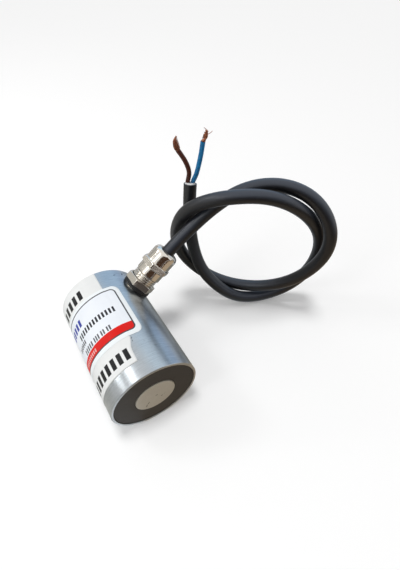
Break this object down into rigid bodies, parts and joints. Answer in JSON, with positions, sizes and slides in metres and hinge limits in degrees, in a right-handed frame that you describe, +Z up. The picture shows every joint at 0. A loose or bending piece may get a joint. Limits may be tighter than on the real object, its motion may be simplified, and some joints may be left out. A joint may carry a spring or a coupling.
{
  "type": "electromagnetic gripper",
  "caption": "Round holding electromagnet, a robot's magnetic gripper: steel tube with a round pole face, threaded rear mount, side cable gland and a coiled cable with bare ends.",
  "frame": {"origin": "centre of the rear face, at the mouth of the mounting thread; the floor it lies on is 25 mm below", "axes": "+Y out of the rear face along the magnet's axis, so the holding face looks along -Y; +Z up as the magnet lies on its side; +X towards the side that the cable gland stands on"},
  "size_m": [0.1627, 0.0865, 0.1188],
  "materials": {
    "tube_zinc": "zinc plated and turned, fine rings round it",
    "plate_zinc": "zinc plated and turned",
    "pole_iron": "ground flat at the holding face",
    "resin": "dull potting resin",
    "former_plastic": "moulded",
    "copper": "copper",
    "coil_tape": "smooth",
    "sleeve": "shrunk tubing",
    "insulation_brown": "smooth",
    "insulation_blue": "smooth",
    "gasket_rubber": "moulded",
    "seal_rubber": "moulded",
    "nickel": "nickel plated",
    "claw_plastic": "moulded",
    "jacket": "satin",
    "filler": "plain",
    "label_white": "satin film",
    "label_cool": "satin film"
  },
  "bodies": {
    "root": {"housing_tube": "tube_zinc", "back_plate": "plate_zinc", "pole_core": "pole_iron", "face_resin": "resin", "rear_resin": "resin", "coil_former": "former_plastic", "coil_winding": "copper", "coil_tape": "coil_tape", "coil_leads": "copper", "splice_sleeves": "sleeve", "core_tail_brown": "insulation_brown", "core_tail_blue": "insulation_blue", "gland_gasket": "gasket_rubber", "gland_locknut": "nickel", "gland_body": "nickel", "gland_claws": "claw_plastic", "gland_seal": "seal_rubber", "gland_dome_nut": "nickel", "cable_jacket": "jacket", "cable_filler": "filler", "core_brown": "insulation_brown", "core_blue": "insulation_blue", "strands_brown": "copper", "strands_blue": "copper", "label_base": "label_white", "label_patch": "label_cool"}
  },
  "joints": []
}
